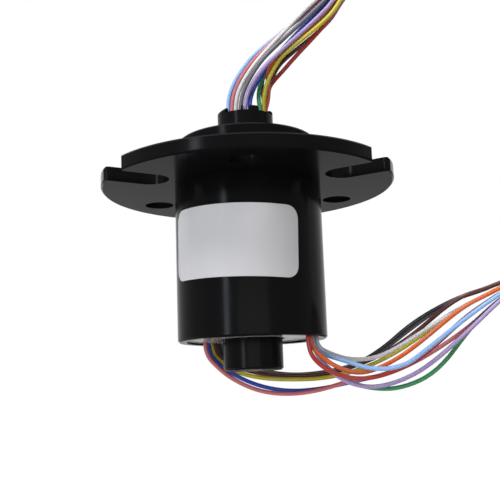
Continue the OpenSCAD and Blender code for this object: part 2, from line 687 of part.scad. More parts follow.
// Strap tie around a hank's waist, with its square head outside
module tie(b) {
    gap = 0.15;
    w = 2 * (hank_half_w(tie_w / 2, b[8]) + hank_margin + gap);
    d = hank_t + 2 * gap;
    head = [3.4, 2.6, 3.2];
    color([0.9, 0.9, 0.88])
        translate(hank_centre(b))
            translate([0, hank_y0 + hank_t / 2, 0]) {
                difference() {
                    cube([w + 2 * tie_t, d + 2 * tie_t, tie_w], center = true);
                    cube([w, d, tie_w + 1], center = true);
                }
                translate([0, -d / 2 - tie_t - head[1] / 2 + eps, 0]) cube(head, center = true);
            }
}

// ---------------------------------------------------------------- drawing

a_board = lead_slots[0];
b_board = lead_slots[1];

housing();
label();
end_plate();
end_plate_screws();
brush_board(a_board);  // brush_board_a
brush_board(b_board);  // brush_board_b
brush_wires(a_board, 0);  // brush_wires_a
brush_wires(b_board, 1);  // brush_wires_b
outer_race(upper_bearing_d, upper_z0, upper_z1, upper_ball_d, upper_race_wall);  // upper_bearing_outer_ring
inner_race(upper_bearing_d, upper_z0, upper_z1, upper_ball_d, upper_race_wall);  // upper_bearing_inner_ring
balls(upper_bearing_d, upper_ball_z, upper_ball_d, upper_balls);  // upper_bearing_balls
cage(upper_bearing_d, upper_ball_z, upper_ball_d, upper_balls, upper_cage_wall);  // upper_bearing_cage
outer_race(lower_bearing_d, lower_z0, lower_z1, lower_ball_d, lower_race_wall);  // lower_bearing_outer_ring
inner_race(lower_bearing_d, lower_z0, lower_z1, lower_ball_d, lower_race_wall);  // lower_bearing_inner_ring
balls(lower_bearing_d, lower_ball_z, lower_ball_d, lower_balls);  // lower_bearing_balls
cage(lower_bearing_d, lower_ball_z, lower_ball_d, lower_balls, lower_cage_wall);  // lower_bearing_cage
rotor_shaft();
ring_spacers();
stack_collar();
contact_ring(0);  // contact_ring_01
contact_ring(1);  // contact_ring_02
contact_ring(2);  // contact_ring_03
contact_ring(3);  // contact_ring_04
contact_ring(4);  // contact_ring_05
contact_ring(5);  // contact_ring_06
contact_ring(6);  // contact_ring_07
contact_ring(7);  // contact_ring_08
contact_ring(8);  // contact_ring_09
contact_ring(9);  // contact_ring_10
contact_ring(10);  // contact_ring_11
contact_ring(11);  // contact_ring_12
rotor_wire("black");  // rotor_wire_black
rotor_wire("brown");  // rotor_wire_brown
rotor_wire("red");  // rotor_wire_red
rotor_wire("orange");  // rotor_wire_orange
rotor_wire("yellow");  // rotor_wire_yellow
rotor_wire("green");  // rotor_wire_green
rotor_wire("blue");  // rotor_wire_blue
rotor_wire("purple");  // rotor_wire_purple
rotor_wire("grey");  // rotor_wire_grey
rotor_wire("white");  // rotor_wire_white
rotor_wire("pink");  // rotor_wire_pink
rotor_wire("light_blue");  // rotor_wire_light_blue
stator_wire("black");  // stator_wire_black
stator_wire("brown");  // stator_wire_brown
stator_wire("red");  // stator_wire_red
stator_wire("orange");  // stator_wire_orange
stator_wire("yellow");  // stator_wire_yellow
stator_wire("green");  // stator_wire_green
stator_wire("blue");  // stator_wire_blue
stator_wire("purple");  // stator_wire_purple
stator_wire("grey");  // stator_wire_grey
stator_wire("white");  // stator_wire_white
stator_wire("pink");  // stator_wire_pink
stator_wire("light_blue");  // stator_wire_light_blue
hank(rotor_bundle);  // rotor_hank
hank(stator_bundle);  // stator_hank
tie(rotor_bundle);  // rotor_tie
tie(stator_bundle);  // stator_tie
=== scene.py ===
"""Looks, leads and stage for a flanged capsule slip ring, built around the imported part."""
import math

import bmesh
import bpy
from mathutils import Matrix, Vector


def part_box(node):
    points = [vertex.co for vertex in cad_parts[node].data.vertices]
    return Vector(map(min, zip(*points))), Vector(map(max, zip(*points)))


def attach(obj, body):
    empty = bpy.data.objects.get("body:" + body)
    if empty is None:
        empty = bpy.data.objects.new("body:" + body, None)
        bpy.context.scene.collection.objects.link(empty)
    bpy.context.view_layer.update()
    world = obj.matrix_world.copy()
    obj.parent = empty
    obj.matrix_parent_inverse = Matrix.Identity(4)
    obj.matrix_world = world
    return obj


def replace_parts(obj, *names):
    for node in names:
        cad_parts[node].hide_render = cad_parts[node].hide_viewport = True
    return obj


bl_info = {
    "name": "Capsule Slip Ring",
    "version": (1, 0, 0),
    "blender": (4, 5, 0),
    "location": "3D View > Sidebar > Slip Ring",
    "description": "Dresses a flanged slip ring with its leads, materials and studio stage",
    "category": "Object",
}

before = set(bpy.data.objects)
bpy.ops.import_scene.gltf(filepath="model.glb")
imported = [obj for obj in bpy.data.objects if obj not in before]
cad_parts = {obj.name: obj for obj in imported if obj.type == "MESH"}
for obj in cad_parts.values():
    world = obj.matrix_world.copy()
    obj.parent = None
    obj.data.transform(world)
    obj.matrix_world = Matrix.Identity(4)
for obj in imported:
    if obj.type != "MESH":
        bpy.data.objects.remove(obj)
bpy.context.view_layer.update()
MM = 0.001
COLOURS = ("black", "brown", "red", "orange", "yellow", "green",
           "blue", "purple", "grey", "white", "pink", "light_blue")
ROTOR, STATOR = "rotor", "stator"


# ---------------------------------------------------------------- sizes and colours

def size_prop(name, description, value, low, high):
    return bpy.props.FloatProperty(
        name=name, description=description, default=value, min=low, max=high,
        precision=5, unit="LENGTH")


def colour_prop(name, description, value):
    return bpy.props.FloatVectorProperty(
        name=name, description=description, default=value, size=3, min=0, max=1,
        subtype="COLOR")


class SlipRingSizes(bpy.types.PropertyGroup):
    """Sizes of the leads, the ties and the label"""
    lead_diameter: size_prop("Lead Diameter", "Outer diameter of each lead", 0.00065, 0.0005, 0.0007)
    lead_length: size_prop("Lead Length", "Length of each lead outside the body", 0.25, 0.24, 0.26)
    stripped_length: size_prop("Stripped End", "Bare tinned wire at each lead's end", 0.003, 0.001, 0.006)
    conductor_diameter: size_prop("Conductor Diameter", "Diameter of the tinned conductor", 0.00032, 0.0002, 0.0004)
    tie_width: size_prop("Tie Width", "Width of the straps round the folded leads", 0.0025, 0.0015, 0.003)
    label_tilt: bpy.props.FloatProperty(
        name="Label Tilt", description="How far the label's right end was stuck on low",
        default=math.radians(2.0), min=-0.05, max=0.05, subtype="ANGLE")


class SlipRingColours(bpy.types.PropertyGroup):
    """Base colours of the finishes"""
    body: colour_prop("Body", "Black moulded housing", (0.0036, 0.0036, 0.004))
    shaft: colour_prop("Shaft", "Black turned shaft", (0.0042, 0.0042, 0.0046))
    label: colour_prop("Label", "Blank silver-grey label film", (0.56, 0.545, 0.55))
    end_plate: colour_prop("End Plate", "Grey glossy end plate", (0.3, 0.29, 0.275))
    tie: colour_prop("Tie", "Natural nylon strap", (0.78, 0.77, 0.72))
    black: colour_prop("Black Lead", "Insulation of the black leads", (0.012, 0.012, 0.015))
    brown: colour_prop("Brown Lead", "Insulation of the brown leads", (0.07, 0.014, 0.012))
    red: colour_prop("Red Lead", "Insulation of the red leads", (0.36, 0.016, 0.01))
    orange: colour_prop("Orange Lead", "Insulation of the orange leads", (0.62, 0.1, 0.012))
    yellow: colour_prop("Yellow Lead", "Insulation of the yellow leads", (0.5, 0.42, 0.02))
    green: colour_prop("Green Lead", "Insulation of the green leads", (0.03, 0.25, 0.09))
    blue: colour_prop("Blue Lead", "Insulation of the blue leads", (0.01, 0.05, 0.4))
    purple: colour_prop("Purple Lead", "Insulation of the purple leads", (0.34, 0.25, 0.48))
    grey: colour_prop("Grey Lead", "Insulation of the grey leads", (0.11, 0.105, 0.12))
    white: colour_prop("White Lead", "Insulation of the white leads", (0.6, 0.58, 0.57))
    pink: colour_prop("Pink Lead", "Insulation of the pink leads", (0.48, 0.12, 0.14))
    light_blue: colour_prop("Light Blue Lead", "Insulation of the light blue leads", (0.24, 0.42, 0.75))


class SlipRingStage(bpy.types.PropertyGroup):
    """Camera, lamps and background"""
    focal_length: bpy.props.FloatProperty(
        name="Focal Length", description="Camera lens on a 36 mm sensor", default=61.99, min=20, max=200)
    lamp_strength: bpy.props.FloatProperty(
        name="Lamp Strength", description="Scales every lamp", default=1.0, min=0.1, max=5)
    backdrop: colour_prop("Backdrop", "Colour of the background", (1.0, 1.0, 1.0))


def sizes():
    return bpy.context.scene.slip_ring_sizes


def colours():
    return bpy.context.scene.slip_ring_colours


# ---------------------------------------------------------------- node building

def add(tree, kind, inputs=None, **props):
    """A new node with its properties and inputs set; an input is a value or another node's output."""
    node = tree.nodes.new(kind)
    for key, value in props.items():
        setattr(node, key, value)
    for key, value in (inputs or {}).items():
        if isinstance(value, bpy.types.NodeSocket):
            tree.links.new(value, node.inputs[key])
        else:
            node.inputs[key].default_value = value
    return node


def new_group(name, kind, ins, outs):
    """A node group with named sockets, and its input and output nodes. A socket is (name, type, value)."""
    tree = bpy.data.node_groups.new(name, kind)
    for in_out, sockets in (("INPUT", ins), ("OUTPUT", outs)):
        for socket in sockets:
            made = tree.interface.new_socket(socket[0], in_out=in_out, socket_type="NodeSocket" + socket[1])
            if len(socket) > 2:
                made.default_value = socket[2]
    return tree, add(tree, "NodeGroupInput").outputs, add(tree, "NodeGroupOutput").inputs


def maths(tree, operation, a, b=0.0, c=0.0):
    return add(tree, "ShaderNodeMath", {0: a, 1: b, 2: c}, operation=operation).outputs[0]


def mix_colour(tree, factor, a, b, blend="MIX"):
    node = add(tree, "ShaderNodeMix", {0: factor, 6: a, 7: b}, data_type="RGBA", blend_type=blend)
    return node.outputs[2]


def span(tree, value, low, high, to_low, to_high):
    return add(tree, "ShaderNodeMapRange", {
        "Value": value, "From Min": low, "From Max": high, "To Min": to_low, "To Max": to_high}).outputs[0]


def noise(tree, vector, scale, detail=3.0, rough=0.5):
    return add(tree, "ShaderNodeTexNoise", {
        "Vector": vector, "Scale": scale, "Detail": detail, "Roughness": rough}).outputs[0]


def object_place(tree):
    return add(tree, "ShaderNodeTexCoord").outputs["Object"]


def moulded_surface():
    """Colour drift, fine grain and handling marks of a moulded or cast surface."""
    tree, i, o = new_group("Moulded Surface", "ShaderNodeTree", [
        ("Color", "Color", (0.5, 0.5, 0.5, 1)), ("Mark Color", "Color", (0.5, 0.5, 0.5, 1)),
        ("Drift", "Float", 0.1), ("Marks", "Float", 0.2), ("Grain Size", "Float", 0.0003),
        ("Smooth", "Float", 0.35), ("Rough", "Float", 0.5)],
        [("Color", "Color"), ("Roughness", "Float"), ("Height", "Float")])
    place = object_place(tree)
    broad = noise(tree, place, 90.0, 2.0)
    patchy = noise(tree, place, 420.0, 4.0, 0.6)
    grain = noise(tree, place, maths(tree, "DIVIDE", 1.0, i["Grain Size"]), 2.0)
    turned = add(tree, "ShaderNodeMapping", {"Vector": place, "Rotation": (0.5, 0.8, 0.3), "Scale": (150, 2600, 900)})
    scratch = span(tree, noise(tree, turned.outputs[0], 1.0, 3.0), 0.66, 0.74, 0.0, 1.0)
    marks = maths(tree, "MULTIPLY", maths(tree, "MULTIPLY", scratch, span(tree, patchy, 0.5, 0.65, 0.0, 1.0)),
                  i["Marks"])
    bright = maths(tree, "MULTIPLY_ADD", maths(tree, "SUBTRACT", broad, 0.5), i["Drift"], 1.0)
    grey = add(tree, "ShaderNodeCombineColor", {0: bright, 1: bright, 2: bright}).outputs[0]
    base = mix_colour(tree, 1.0, i["Color"], grey, "MULTIPLY")
    tree.links.new(mix_colour(tree, marks, base, i["Mark Color"]), o["Color"])
    drift = span(tree, maths(tree, "MULTIPLY_ADD", grain, 0.4, maths(tree, "MULTIPLY", patchy, 0.6)), 0.3, 0.7, 0.0, 1.0)
    rough = maths(tree, "MULTIPLY_ADD", drift, maths(tree, "SUBTRACT", i["Rough"], i["Smooth"]), i["Smooth"])
    tree.links.new(maths(tree, "MULTIPLY_ADD", marks, 0.15, rough), o["Roughness"])
    tree.links.new(maths(tree, "SUBTRACT", maths(tree, "MULTIPLY", grain, 0.6), marks), o["Height"])
    return tree


def turning_marks():
    """Fine tool rings round the Z axis, as a lathe leaves them on walls and faces."""
    tree, i, o = new_group("Turning Marks", "ShaderNodeTree", [("Spacing", "Float", 0.00025), ("Unevenness", "Float", 0.5)],
                           [("Height", "Float"), ("Mask", "Float")])
    place = add(tree, "ShaderNodeSeparateXYZ", {0: object_place(tree)}).outputs
    radius = maths(tree, "SQRT", maths(tree, "ADD", maths(tree, "MULTIPLY", place[0], place[0]),
                                       maths(tree, "MULTIPLY", place[1], place[1])))
    along = maths(tree, "DIVIDE", maths(tree, "ADD", radius, place[2]), i["Spacing"])
    line = add(tree, "ShaderNodeCombineXYZ", {0: along}).outputs[0]
    uneven = noise(tree, line, 0.35, 3.0, 0.7)
    ridge = maths(tree, "MULTIPLY_ADD", maths(tree, "SINE", maths(tree, "MULTIPLY", along, 2 * math.pi)), 0.5, 0.5)
    height = add(tree, "ShaderNodeMix", {0: i["Unevenness"], 2: ridge, 3: uneven}).outputs[0]
    tree.links.new(height, o["Height"])
    tree.links.new(span(tree, uneven, 0.4, 0.6, 0.0, 1.0), o["Mask"])
    return tree


def drawn_insulation():
    """Slow colour change, faint scuffs and gloss change of extruded lead insulation."""
    tree, i, o = new_group("Drawn Insulation", "ShaderNodeTree", [
        ("Color", "Color", (0.5, 0.5, 0.5, 1)), ("Smooth", "Float", 0.25), ("Rough", "Float", 0.45)],
        [("Color", "Color"), ("Roughness", "Float"), ("Height", "Float")])
    place = object_place(tree)
    slow, fast = noise(tree, place, 180.0, 2.0), noise(tree, place, 1400.0, 2.0)
    tint = add(tree, "ShaderNodeHueSaturation", {
        "Color": i["Color"], "Saturation": span(tree, slow, 0.3, 0.7, 0.92, 1.06),
        "Value": span(tree, slow, 0.3, 0.7, 0.94, 1.04)}).outputs[0]
    tree.links.new(tint, o["Color"])
    drift = maths(tree, "MULTIPLY_ADD", fast, maths(tree, "SUBTRACT", i["Rough"], i["Smooth"]), i["Smooth"])
    tree.links.new(drift, o["Roughness"])
    tree.links.new(fast, o["Height"])
    return tree


def group_of(name, build):
    return bpy.data.node_groups.get(name) or build()


def new_material(name):
    """A material with only a Principled shader and its output."""
    made = bpy.data.materials.new(name)
    made.use_nodes = True
    tree = made.node_tree
    tree.nodes.clear()
    shader = add(tree, "ShaderNodeBsdfPrincipled")
    add(tree, "ShaderNodeOutputMaterial", {0: shader.outputs[0]})
    return made, tree, shader


def bump(tree, shader, height, distance, strength=1.0):
    node = add(tree, "ShaderNodeBump", {"Height": height, "Distance": distance, "Strength": strength})
    tree.links.new(node.outputs[0], shader.inputs["Normal"])


def rgba(colour):
    return (*tuple(colour)[:3], 1.0)


def surface_material(name, colour, drift=0.25, marks=0.2, mark_colour=(0.2, 0.2, 0.2), grain=0.0003,
                     smooth=0.35, rough=0.5, metal=0.0, turned=None, depth=0.000004, specular=0.5):
    """A moulded, turned or plated finish. turned is the spacing of tool rings round the Z axis."""
    made, tree, shader = new_material(name)
    body = add(tree, "ShaderNodeGroup", {}, node_tree=group_of("Moulded Surface", moulded_surface))
    for key, value in (("Color", rgba(colour)), ("Mark Color", rgba(mark_colour)), ("Drift", drift),
                       ("Marks", marks), ("Grain Size", grain), ("Smooth", smooth), ("Rough", rough)):
        body.inputs[key].default_value = value
    height = body.outputs["Height"]
    if turned:
        rings = add(tree, "ShaderNodeGroup", {}, node_tree=group_of("Turning Marks", turning_marks))
        rings.inputs["Spacing"].default_value = turned
        height = maths(tree, "ADD", maths(tree, "MULTIPLY", height, 0.5), rings.outputs["Height"])
    tree.links.new(body.outputs["Color"], shader.inputs["Base Color"])
    tree.links.new(body.outputs["Roughness"], shader.inputs["Roughness"])
    shader.inputs["Metallic"].default_value = metal
    shader.inputs["Specular IOR Level"].default_value = specular
    bump(tree, shader, height, depth)
    return made


def lead_material(name):
    """Insulation in one of the twelve colours."""
    made = bpy.data.materials.get("insulation_" + name)
    if made:
        return made
    made, tree, shader = new_material("insulation_" + name)
    skin = add(tree, "ShaderNodeGroup", {}, node_tree=group_of("Drawn Insulation", drawn_insulation))
    skin.inputs["Color"].default_value = rgba(getattr(colours(), name))
    for out, socket in (("Color", "Base Color"), ("Roughness", "Roughness")):
        tree.links.new(skin.outputs[out], shader.inputs[socket])
    shader.inputs["Specular IOR Level"].default_value = 0.4
    shader.inputs["Coat Roughness"].default_value = 0.2
    bump(tree, shader, skin.outputs["Height"], 0.0000008)
    return made


def dress(material, *names):
    """Gives CAD nodes a material."""
    for name in names:
        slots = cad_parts[name].data.materials
        slots.clear()
        slots.append(material)


# ---------------------------------------------------------------- lead routes

# Rotor leads from the first ring down: colour, place in the bundle (row, column), and the route's points
# from the hub's rim on, in metres.
ROTOR_LEADS = (
    ("light_blue", (1, 3), ((-.0026, -.0013, .0121), (-.0024, -.0015, .0144), (-.0014, -.0017, .0168),
        (.0002, -.0019, .0191), (.0022, -.0020, .0214))),
    ("pink", (0, 3), ((-.0020, -.0020, .0119), (-.0017, -.0024, .0142), (-.0007, -.0027, .0165),
        (.0009, -.0028, .0188), (.0028, -.0028, .0209))),
    ("white", (-1, 3), ((-.0014, -.0025, .0118), (-.0011, -.0031, .0141), (.0, -.0034, .0163),
        (.0016, -.0035, .0186), (.0033, -.0035, .0206))),
    ("grey", (-1, 2), ((-.0007, -.0028, .0118), (-.0003, -.0034, .0141), (.0008, -.0039, .0162),
        (.0022, -.0041, .0183), (.0038, -.0041, .0202))),
    ("purple", (-1, 1), ((.0, -.0029, .0119), (.0004, -.0034, .0140), (.0015, -.0038, .0160),
        (.0031, -.0040, .0180), (.0050, -.0039, .0199))),
    ("blue", (0, 2), ((.0007, -.0029, .0118), (.0009, -.0028, .0137), (.0017, -.0022, .0158),
        (.0029, -.0018, .0177), (.0042, -.0016, .0196), (.0057, -.0015, .0214))),
    ("green", (1, 1), ((.0023, -.0019, .0120), (.0021, -.0015, .0144), (.0025, -.0009, .0166),
        (.0034, -.0007, .0185), (.0045, -.0007, .0200), (.0060, -.0006, .0216))),
    ("yellow", (-1, 0), ((.0028, -.0012, .0122), (.0030, -.0019, .0142), (.0035, -.0025, .0161),
        (.0046, -.0030, .0181), (.0061, -.0032, .0203))),
    ("orange", (0, 1), ((.0031, -.0004, .0124), (.0035, -.0007, .0142), (.0037, -.0012, .0153),
        (.0037, -.0016, .0163), (.0036, -.0020, .0172), (.0039, -.0025, .0182), (.0045, -.0029, .0192),
        (.0052, -.0029, .0202))),
    ("red", (0, 0), ((.0031, .0004, .0124), (.0037, .0003, .0144), (.0038, .0, .0161), (.0047, -.0005, .0172),
        (.0061, -.0012, .0184), (.0077, -.0016, .0201))),
    ("black", (1, 2), ((.0029, .0011, .0124), (.0030, .0009, .0146), (.0027, .0007, .0166),
        (.0031, .0004, .0184), (.0043, .0002, .0202), (.0057, .0001, .0217))),
    ("brown", (1, 0), ((.0024, .0020, .0124), (.0033, .0020, .0146), (.0039, .0012, .0166),
        (.0048, .0005, .0189), (.0064, -.0001, .0208))),
)

# Stator leads: colour, lead slot, place in the slot, place in the bundle (row, column), and the route's
# points from the end plate on, in metres.
STATOR_LEADS = (
    ("pink", 0, 5, (1, 0), ((-.0074, .0049, -.0241), (-.0057, .0056, -.0262), (-.0032, .0066, -.0283),
        (.0008, .0074, -.0302), (.0054, .0076, -.0308), (.0102, .0072, -.0303), (.0150, .0067, -.0289),
        (.0200, .0062, -.0284), (.0257, .0053, -.0262))),
    ("blue", 0, 4, (1, 1), ((-.0069, .0056, -.0240), (-.0054, .0061, -.0259), (-.0028, .0072, -.0277),
        (.0009, .0080, -.0294), (.0054, .0083, -.0303), (.0102, .0080, -.0301), (.0150, .0075, -.0292),
        (.0200, .0070, -.0283), (.0259, .0062, -.0260))),
    ("brown", 0, 2, (-1, 3), ((-.0059, .0067, -.0239), (-.0046, .0075, -.0252), (-.0022, .0084, -.0266),
        (.0018, .0091, -.0275), (.0060, .0093, -.0279), (.0106, .0089, -.0279), (.0152, .0084, -.0270),
        (.0202, .0074, -.0251), (.0251, .0069, -.0222))),
    ("yellow", 0, 3, (1, 2), ((-.0065, .0061, -.0240), (-.0049, .0070, -.0256), (-.0026, .0076, -.0272),
        (.0014, .0082, -.0282), (.0060, .0085, -.0285), (.0106, .0084, -.0285), (.0154, .0079, -.0277),
        (.0205, .0069, -.0258), (.0252, .0062, -.0231))),
    ("black", 0, 1, (0, 3), ((-.0054, .0074, -.0239), (-.0039, .0084, -.0251), (-.0017, .0094, -.0266),
        (.0022, .0101, -.0277), (.0062, .0104, -.0282), (.0108, .0101, -.0279), (.0154, .0094, -.0268),
        (.0202, .0085, -.0243), (.0250, .0077, -.0203))),
    ("grey", 0, 0, (1, 3), ((-.0049, .0079, -.0237), (-.0036, .0093, -.0247), (-.0009, .0102, -.0261),
        (.0026, .0111, -.0272), (.0066, .0114, -.0277), (.0108, .0111, -.0275), (.0154, .0103, -.0267),
        (.0204, .0093, -.0245), (.0253, .0084, -.0209))),
    ("red", 1, 0, (0, 1), ((.0078, -.0042, -.0240), (.0085, -.0042, -.0261), (.0110, -.0038, -.0281),
        (.0151, -.0028, -.0292), (.0196, -.0014, -.0284), (.0244, -.0006, -.0264))),
    ("orange", 1, 1, (-1, 2), ((.0082, -.0035, -.0238), (.0093, -.0038, -.0254), (.0119, -.0035, -.0274),
        (.0156, -.0020, -.0284), (.0200, -.0009, -.0268), (.0240, -.0004, -.0244))),
    ("purple", 1, 2, (-1, 0), ((.0085, -.0028, -.0240), (.0098, -.0027, -.0265), (.0126, -.0025, -.0292),
        (.0166, -.0017, -.0304), (.0210, -.0010, -.0296), (.0257, -.0002, -.0274))),
    ("green", 1, 3, (0, 0), ((.0087, -.0021, -.0240), (.0099, -.0018, -.0265), (.0126, -.0015, -.0289),
        (.0166, -.0007, -.0304), (.0214, .0001, -.0306), (.0271, .0008, -.0283))),
    ("light_blue", 1, 4, (-1, 1), ((.0089, -.0014, -.0240), (.0102, -.0013, -.0253), (.0123, -.0016, -.0260),
        (.0139, -.0020, -.0266), (.0157, -.0025, -.0273), (.0175, -.0029, -.0277), (.0196, -.0031, -.0277),
        (.0217, -.0029, -.0272), (.0233, -.0025, -.0264))),
    ("white", 1, 5, (0, 2), ((.0092, -.0007, -.0239), (.0110, .0004, -.0250), (.0144, .0018, -.0261),
        (.0184, .0029, -.0259), (.0220, .0035, -.0243), (.0254, .0040, -.0223))),
)

# The two bundles: where each starts to run together, its heading, and how it bends over into its hank.
ROTOR_BUNDLE = {"start": Vector((.016, -.0015, .032)), "heading": 50, "gather": ((-.006, 1.7), (-.002, 1.15)),
                "lead": .010, "radius": .016, "drop": 0.0, "end_y": -.0032, "steps": 8, "run": .020}
STATOR_BUNDLE = {"start": Vector((.0385, .0035, -.016)), "heading": 28, "gather": ((-.0075, 2.3), (-.0025, 1.25)),
                 "lead": 0.0, "radius": .007, "drop": .002, "end_y": .001, "steps": 4, "run": .024}
PITCH = .00072
COLUMNS = 4
HANK_RADIUS = .0034
HANK_WAIST = .0016
HANK_STEP = .00225
FIRST_RING_Z = .00085
RING_PITCH = .0013
RIM_Z = .01215
PLATE_Z = -.02265
BOARD_BOTTOM = -.015
LEAD_SLOTS = (134.4, -16.0)


def lerp(a, b, t):
    return a + (b - a) * t


def ease(t):
    return t * t * (3 - 2 * t)


def polar(radius, azimuth, z):
    a = math.radians(azimuth)
    return Vector((radius * math.cos(a), radius * math.sin(a), z))


def in_bundle(middle, heading, place, spread=1.0):
    """A lead's point in the bundle, across a middle point that heads at an angle in the XZ plane."""
    side = (place[1] - (COLUMNS - 1) / 2) * PITCH * spread
    a = math.radians(heading)
    return Vector((middle[0] - math.sin(a) * side, middle[1] + place[0] * PITCH * spread,
                   middle[2] + math.cos(a) * side))


def along(point, heading, distance):
    a = math.radians(heading)
    return point + Vector((math.cos(a), 0, math.sin(a))) * distance


def arc_centre(b):
    return along(along(b["start"], b["heading"], b["lead"]), b["heading"] - 90, b["radius"])


def arc_end(b):
    centre = arc_centre(b)
    return Vector((centre[0] + b["radius"], b["end_y"], centre[2]))


def bundle_route(b, place):
    route = [in_bundle(along(b["start"], b["heading"], d), b["heading"], place, spread) for d, spread in b["gather"]]
    if b["lead"]:
        route.append(in_bundle(along(b["start"], b["heading"], 0.4 * b["lead"]), b["heading"], place))
    centre = arc_centre(b)
    for i in range(b["steps"] + 1):
        t = i / b["steps"]
        heading = lerp(b["heading"], -90, t)
        middle = along(centre, heading + 90, b["radius"])
        middle[1] = lerp(b["start"][1], b["end_y"], t)
        route.append(in_bundle(middle, heading, place))
    end = arc_end(b)
    route.append(in_bundle(Vector((end[0], b["end_y"], end[2] - b["drop"] - .001)), -90, place))
    return route


def near_turn(a, b):
    """Angle a by whole turns to within half a turn of angle b."""
    while a - b > 180:
        a -= 360
    while b - a > 180:
        a += 360
    return a


def rotor_route(i):
    colour, place, points = ROTOR_LEADS[i]
    tap, ring_z = 120 + 30 * i, FIRST_RING_Z - RING_PITCH * i
    rim = Vector(points[0])
    azimuth, radius = near_turn(math.degrees(math.atan2(rim[1], rim[0])), tap), math.hypot(rim[0], rim[1])
    route = [polar(.00515, tap, ring_z), polar(.002, tap, ring_z), polar(.002, tap, ring_z + .0037)]
    for t in (0, 0.33, 0.67, 1):
        route.append(polar(lerp(.002, radius, ease(t)), lerp(tap, azimuth, ease(t)), lerp(.0054, .0104, t)))
    return route + [Vector(p) for p in points] + bundle_route(ROTOR_BUNDLE, place)


def stator_route(i):
    colour, slot, seat, place, points = STATOR_LEADS[i]
    azimuth, t = LEAD_SLOTS[slot], seat - 2.5
    radius, pad = math.hypot(.008, .0009 * t), azimuth + math.degrees(math.atan2(.0009 * t, .008))
    leave = azimuth + math.degrees(t * PITCH / .0089)
    route = [polar(radius, pad, BOARD_BOTTOM), polar(radius, pad, BOARD_BOTTOM - .001), polar(.0089, leave, -.0184)]
    return route + [Vector(p) for p in points] + bundle_route(STATOR_BUNDLE, place)


def spline(p, steps):
    """The points of a quadratic spline that starts and ends on the route and bends towards the points between."""
    out, last = [p[0]], len(p) - 1
    for i in range(1, last):
        a = p[0] if i == 1 else (p[i - 1] + p[i]) / 2
        c = p[last] if i == last - 1 else (p[i] + p[i + 1]) / 2
        for k in range(1, steps + 1):
            t = k / steps
            out.append(a * (1 - t) ** 2 + p[i] * (2 * t * (1 - t)) + c * t * t)
    return out


def hank_point(b, place, turn):
    """Where a lead is in its hank, after a number of turns: down, round, up on the other side, and round."""
    end, run = arc_end(b), b["run"]
    side = (place[1] - (COLUMNS - 1) / 2) * PITCH
    whole, part = divmod(turn, 1.0)
    x0, z0 = end[0] - HANK_RADIUS, end[2] - b["drop"] - run / 2
    y = b["end_y"] + place[0] * PITCH + HANK_STEP * (whole + ease(min(1.0, part / 0.75)))
    straight, bend = run / (2 * run + 2 * math.pi * HANK_RADIUS), 0.5
    radius = HANK_RADIUS + side
    if part < straight or 0.5 <= part < 0.5 + straight:
        h = (part % 0.5) / straight - 0.5
        out = radius - HANK_WAIST * (1 + math.cos(2 * math.pi * h)) / 2
        sign = 1 if part < 0.5 else -1
        return Vector((x0 + sign * out, y, z0 - sign * h * run))
    sign = 1 if part < 0.5 else -1
    a = math.pi * ((part % 0.5) - straight) / (bend - straight)
    return Vector((x0 + sign * radius * math.cos(a), y, z0 - sign * (run / 2 + radius * math.sin(a))))


def cut_to(line, length):
    """The first stretch of a line, of the given length."""
    out, left = [line[0]], length
    for a, b in zip(line, line[1:]):
        step = (b - a).length
        if step >= left:
            out.append(a.lerp(b, left / step))
            return out
        out.append(b)
        left -= step
    raise RuntimeError("the lead's route is shorter than the lead")


def inside_length(line, z, upwards):
    """How much of a lead lies inside the body, before it passes the height z."""
    total = 0.0
    for a, b in zip(line, line[1:]):
        total += (b - a).length
        if (b[2] > z) == upwards:
            return total
    raise RuntimeError("the lead never leaves the body")


def lead_line(route, b, place, z, upwards):
    """A lead's whole centreline, its hank included, cut to its real length."""
    line = spline(route, 6)
    inside = inside_length(line, z, upwards)
    turns = 4.2
    first = 0.001 / (2 * b["run"] + 2 * math.pi * HANK_RADIUS)
    count = int(turns * 56)
    line += [hank_point(b, place, first + turns * k / count) for k in range(1, count + 1)]
    return cut_to(line, inside + sizes().lead_length)


# ---------------------------------------------------------------- making leads

def tube_tree():
    """Sweeps a round skin along a curve and gives it its material."""
    tree, i, o = new_group("Lead Tube", "GeometryNodeTree", [
        ("Geometry", "Geometry"), ("Radius", "Float", 0.0003), ("Sides", "Int", 12), ("Material", "Material")],
        [("Geometry", "Geometry")])
    ring = add(tree, "GeometryNodeCurvePrimitiveCircle", {"Resolution": i["Sides"], "Radius": i["Radius"]})
    swept = add(tree, "GeometryNodeCurveToMesh", {
        "Curve": i["Geometry"], "Profile Curve": ring.outputs[0], "Fill Caps": True})
    smooth = add(tree, "GeometryNodeSetShadeSmooth", {"Geometry": swept.outputs[0]})
    real = add(tree, "GeometryNodeRealizeInstances", {"Geometry": smooth.outputs[0]})
    painted = add(tree, "GeometryNodeSetMaterial", {"Geometry": real.outputs[0], "Material": i["Material"]})
    tree.links.new(painted.outputs[0], o["Geometry"])
    return tree


def applied(source, tree, values, name):
    """The plain mesh object that a Geometry Nodes tree makes from a source object, which is removed."""
    modifier = source.modifiers.new("shape", "NODES")
    modifier.node_group = tree
    for item in tree.interface.items_tree:
        if item.item_type == "SOCKET" and item.in_out == "INPUT" and item.name in values:
            modifier[item.identifier] = values[item.name]
    evaluated = source.evaluated_get(bpy.context.evaluated_depsgraph_get())
    mesh = bpy.data.meshes.new_from_object(evaluated)
    made = bpy.data.objects.new(name, mesh)
    mesh.name = name
    bpy.context.scene.collection.objects.link(made)
    bpy.data.objects.remove(source)
    return made


